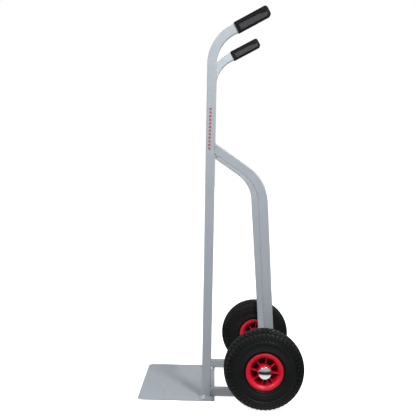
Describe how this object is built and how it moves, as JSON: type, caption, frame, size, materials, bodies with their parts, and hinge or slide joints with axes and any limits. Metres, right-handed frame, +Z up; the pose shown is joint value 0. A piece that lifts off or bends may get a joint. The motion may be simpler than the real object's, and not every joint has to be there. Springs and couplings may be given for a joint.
{
  "type": "hand truck",
  "caption": "Upright two-wheeled hand truck with a flat toe plate, splayed rectangular-tube side frames, bent-back handles with grips and pneumatic wheels.",
  "frame": {"origin": "middle of the whole truck's box, on the floor", "axes": "+Z up, +X rearwards from the toe plate to the wheels, +Y to the right of a user standing behind the truck; the axle runs along Y"},
  "size_m": [0.5448, 0.471, 1.2803],
  "materials": {
    "grey_paint": "satin silver-grey powder coat",
    "grip_plastic": "black moulded, ribbed along the top",
    "black_plastic": "black moulded",
    "zinc": "bright zinc plated",
    "axle_steel": "drawn bar, zinc plated",
    "chrome": "polished dome",
    "rim_red": "crimson moulded plastic",
    "tyre_black": "black rubber with block tread",
    "tube_rubber": "smooth butyl rubber",
    "bush_plastic": "natural nylon"
  },
  "bodies": {
    "frame": {"toe_plate": "grey_paint", "axle": "axle_steel", "crossbar_lower": "grey_paint", "crossbar_middle": "grey_paint", "crossbar_upper": "grey_paint", "foot_bolts": "zinc", "foot_washers": "zinc", "foot_nuts": "zinc", "rail_right": "grey_paint", "grip_right": "grip_plastic", "strut_right": "grey_paint", "stay_right": "grey_paint", "stay_plug_right": "black_plastic", "foot_flange_right": "grey_paint", "axle_bracket_right": "grey_paint", "axle_spacer_right": "zinc", "axle_washer_right": "zinc", "axle_cap_right": "chrome", "rail_left": "grey_paint", "grip_left": "grip_plastic", "strut_left": "grey_paint", "stay_left": "grey_paint", "stay_plug_left": "black_plastic", "foot_flange_left": "grey_paint", "axle_bracket_left": "grey_paint", "axle_spacer_left": "zinc", "axle_washer_left": "zinc", "axle_cap_left": "chrome"},
    "wheel_left": {"tyre_left": "tyre_black", "inner_tube_left": "tube_rubber", "rim_left": "rim_red", "valve_left": "tube_rubber", "valve_cap_left": "black_plastic", "outer_bush_left": "bush_plastic", "inner_bush_left": "bush_plastic"},
    "wheel_right": {"tyre_right": "tyre_black", "inner_tube_right": "tube_rubber", "rim_right": "rim_red", "valve_right": "tube_rubber", "valve_cap_right": "black_plastic", "outer_bush_right": "bush_plastic", "inner_bush_right": "bush_plastic"}
  },
  "joints": [
    {"name": "wheel_left_spin", "type": "hinge", "parent": "frame", "child": "wheel_left", "pos_m": [0.14235, -0.19, 0.13], "axis": [0, 1, 0], "continuous": true},
    {"name": "wheel_right_spin", "type": "hinge", "parent": "frame", "child": "wheel_right", "pos_m": [0.14235, 0.19, 0.13], "axis": [0, 1, 0], "continuous": true}
  ]
}
